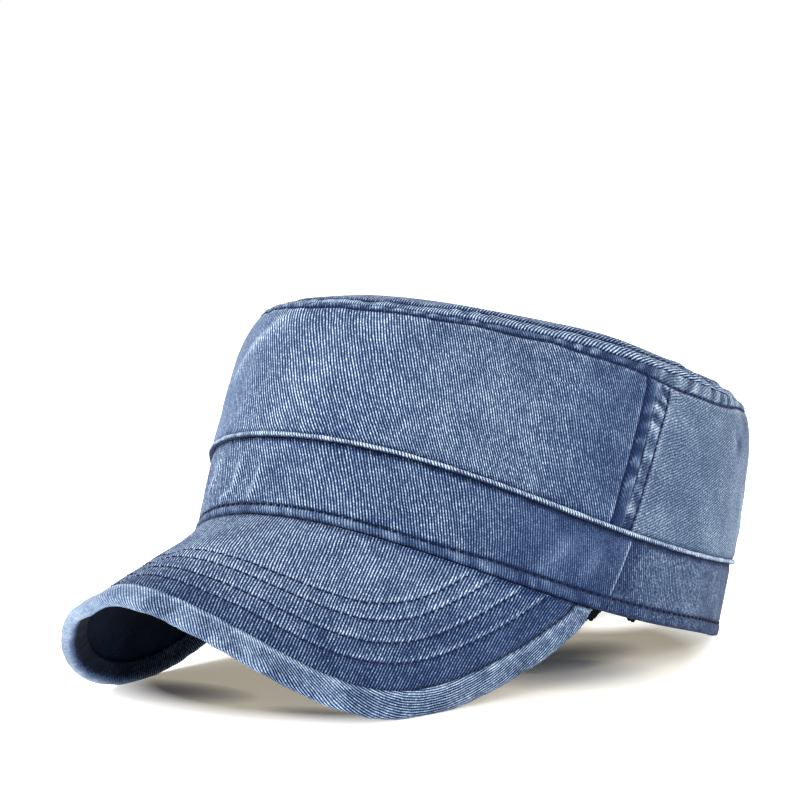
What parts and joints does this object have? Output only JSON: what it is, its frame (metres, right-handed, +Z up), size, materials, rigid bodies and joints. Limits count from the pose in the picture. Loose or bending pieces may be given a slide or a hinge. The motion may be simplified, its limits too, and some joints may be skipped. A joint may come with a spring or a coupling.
{
  "type": "cadet cap",
  "caption": "Flat-topped cloth cap with a low band, a rolled welt above it and a curved peak bound round its edge, at rest on its peak and hem.",
  "frame": {"origin": "middle of the footprint, on the surface that the cap rests on", "axes": "+Z up from the surface, -Y to the front where the peak points, +X to the wearer's left. The cap is tipped back, so its own upright leans towards +Y."},
  "size_m": [0.1648, 0.2838, 0.1267],
  "materials": {
    "twill": "washed blue cotton twill, matt, mottled along seams",
    "welt_twill": "washed blue cotton twill, worn pale along the roll",
    "peak_twill": "washed blue cotton twill with rows of dark stitching",
    "binding_twill": "washed blue twill cut on the bias",
    "sweatband_tape": "near-black matt woven tape"
  },
  "bodies": {
    "root": {"front_panel": "twill", "rear_panel": "twill", "top_panel": "twill", "band_front": "twill", "band_rear": "twill", "crown_welt": "welt_twill", "sweatband": "sweatband_tape", "peak": "peak_twill", "peak_binding": "binding_twill"}
  },
  "joints": []
}
